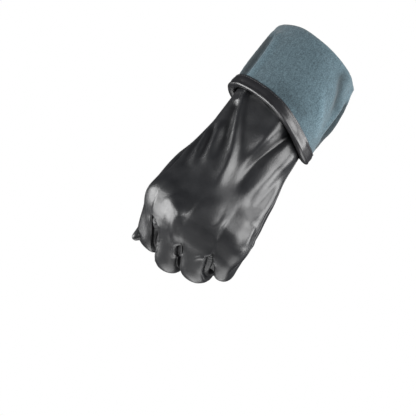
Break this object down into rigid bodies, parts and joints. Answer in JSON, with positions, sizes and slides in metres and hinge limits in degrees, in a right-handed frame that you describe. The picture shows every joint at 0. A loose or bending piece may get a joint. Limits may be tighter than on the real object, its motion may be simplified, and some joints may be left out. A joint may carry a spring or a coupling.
{
  "type": "worn glove",
  "caption": "Left-hand faux leather glove in a closed grip, lined with fleece, its cuff turned back over the wrist.",
  "frame": {"origin": "centre of the arm's mouth, where the cuff folds back", "axes": "+Z out of the mouth along the forearm, -Y the back of the hand, +X the side of the little finger"},
  "size_m": [0.1012, 0.0852, 0.2091],
  "materials": {
    "leather": "semi-gloss, fine grain",
    "strip_leather": "semi-gloss, fine grain",
    "fleece": "short matt pile",
    "band_leather": "semi-gloss"
  },
  "bodies": {
    "root": {"leather_shell": "leather", "thumb": "leather", "fourchette_index_middle": "strip_leather", "fourchette_middle_ring": "strip_leather", "fourchette_ring_little": "strip_leather", "fleece_lining": "fleece", "hem_band": "band_leather"}
  },
  "joints": []
}
